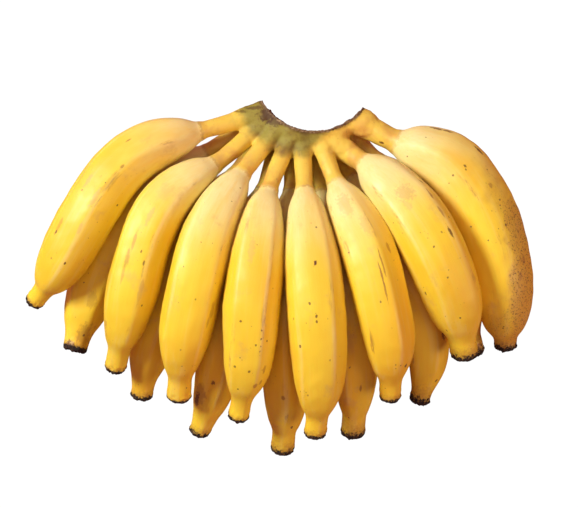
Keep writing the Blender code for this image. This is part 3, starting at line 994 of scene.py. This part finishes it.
    gloss = build.step(build.noise(skin, 120.0, 3.0, 0.6), 0.3, 0.7, 0.40, 0.55)
    gloss = build.maths("MAXIMUM", gloss, build.times(dry, 0.9))
    build.join(gloss, shader.inputs["Roughness"])
    pores = build.noise(skin, 1500.0, 2.0, 0.5)
    height = build.maths("ADD", build.times(fibres, 0.6), build.times(pores, 0.35))
    height = build.maths("ADD", height, build.times(streaks, 0.8))
    height = build.maths("SUBTRACT", height, build.times(dotted, 0.6))
    height = build.maths("MULTIPLY_ADD", build.times(crumbs, dry), 3.0, height)
    build.bump(shader, height, 0.30, 0.4 * MM)
    light_inside(shader, (1.0, 0.40, 0.06), 5 * MM)
    return material


def crown_material(stem_colour):
    """Crown flesh: olive and brown mottling, darker at the edge of the dry fibrous cut."""
    material, build, shader = principled("crown_flesh", 0.6)
    shader.inputs["Specular IOR Level"].default_value = 0.25
    place = build.place()
    from_stalk = build.attribute("from_stalk")
    colour = build.use(stem_colour, vector=place, from_stalk=from_stalk)["Color"]
    grain = build.noise(build.drawn_out(place, 0.15), 900.0, 5.0, 0.7)
    broad = build.noise(place, 110.0, 4.0, 0.6)
    cut_colour = build.mix(build.step(grain, 0.35, 0.65), CUT_DARK, CUT_PALE)
    cut_colour = build.mix(build.step(broad, 0.40, 0.62, 0.0, 0.8), cut_colour, CUT_DARK)
    past = build.shaken(build.attribute("past_cut"), broad, 0.006)
    rim = build.step(past, 0.0, 0.0026, 0.85, 0.0)
    colour = build.mix(rim, colour, CUT_DARK)
    cut = build.attribute("cut")
    colour = build.mix(cut, colour, cut_colour)
    build.join(colour, shader.inputs["Base Color"])
    lumps = build.noise(place, 420.0, 5.0, 0.6)
    height = build.maths("MULTIPLY_ADD", grain, cut, lumps)
    build.bump(shader, height, 0.35, 0.5 * MM)
    light_inside(shader, (1.0, 0.6, 0.15), 4 * MM)
    return material


# ---- stage

def make_floor():
    """A pale square floor. What the camera sees of it is mostly its own even glow."""
    mesh = bpy.data.meshes.new("floor")
    corners = [(-1, -1, 0), (1, -1, 0), (1, 1, 0), (-1, 1, 0)]
    mesh.from_pydata([(x * FLOOR_HALF, y * FLOOR_HALF, z) for x, y, z in corners], [], [(0, 1, 2, 3)])
    floor = new_object("floor", mesh)
    floor.location.z = -FLOOR_BELOW
    material, build, shader = principled("pale_floor", 0.9)
    shader.inputs["Base Color"].default_value = FLOOR_COLOUR
    seen = build.add("LightPath").outputs["Is Camera Ray"]
    glow = build.add("Emission")
    glow.inputs["Strength"].default_value = GLOW_STRENGTH
    surface = material.node_tree.nodes["Material Output"].inputs["Surface"]
    build.blend_shaders(build.times(seen, FLOOR_GLOW), shader, glow, surface)
    mesh.materials.append(material)


def make_light(name, place, width, power, colour):
    """A round soft light that faces the hand and that the camera doesn't see."""
    data = bpy.data.lights.new(name, "AREA")
    data.shape = "DISK"
    data.size = width
    data.energy = power
    data.color = colour
    light = new_object(name, data)
    light.location = place
    light.visible_camera = False
    light.rotation_euler = (Vector(LIGHTS_AIM) - Vector(place)).to_track_quat("-Z", "Y").to_euler()


def make_studio():
    """The world: a dim warm fill for the fruit, and plain white for the camera."""
    world = bpy.data.worlds.new("studio")
    world.use_nodes = True
    build = Nodes(world.node_tree)
    fill = world.node_tree.nodes["Background"]
    fill.inputs["Color"].default_value = FILL_COLOUR
    fill.inputs["Strength"].default_value = FILL_STRENGTH
    backdrop = build.add("Background")
    backdrop.inputs["Color"].default_value = (1.0, 1.0, 1.0, 1.0)
    seen = build.add("LightPath").outputs["Is Camera Ray"]
    surface = world.node_tree.nodes["World Output"].inputs["Surface"]
    build.blend_shaders(seen, fill, backdrop, surface)
    bpy.context.scene.world = world


def make_camera():
    """A long lens straight above the hand."""
    data = bpy.data.cameras.new("camera")
    data.lens = CAMERA_LENS
    data.clip_end = 20
    camera = new_object("camera", data)
    camera.location = (*CAMERA_OVER, CAMERA_HEIGHT)
    bpy.context.scene.camera = camera


# ---- the hand

def main():
    make_floor()
    for light in LIGHTS:
        make_light(*light)
    make_studio()
    make_camera()
    bpy.context.scene.view_settings.view_transform = "Standard"
    mark = mark_group()
    stem_colour = stem_group(mark)
    meshes, skins, stems = {}, {}, []
    for index, node in enumerate(FINGERS):
        meshes[node], body, straight, stem = make_finger(node, index + 1)
        skins[node] = (body, straight)
        stems.append(stem)
    peel = peel_material(freckle_group(), mark, stem_colour, skins)
    for node in FINGERS:
        new_piece("skin_" + node, meshes[node], peel, "peel", node)
    make_crown(stems, crown_material(stem_colour))


main()
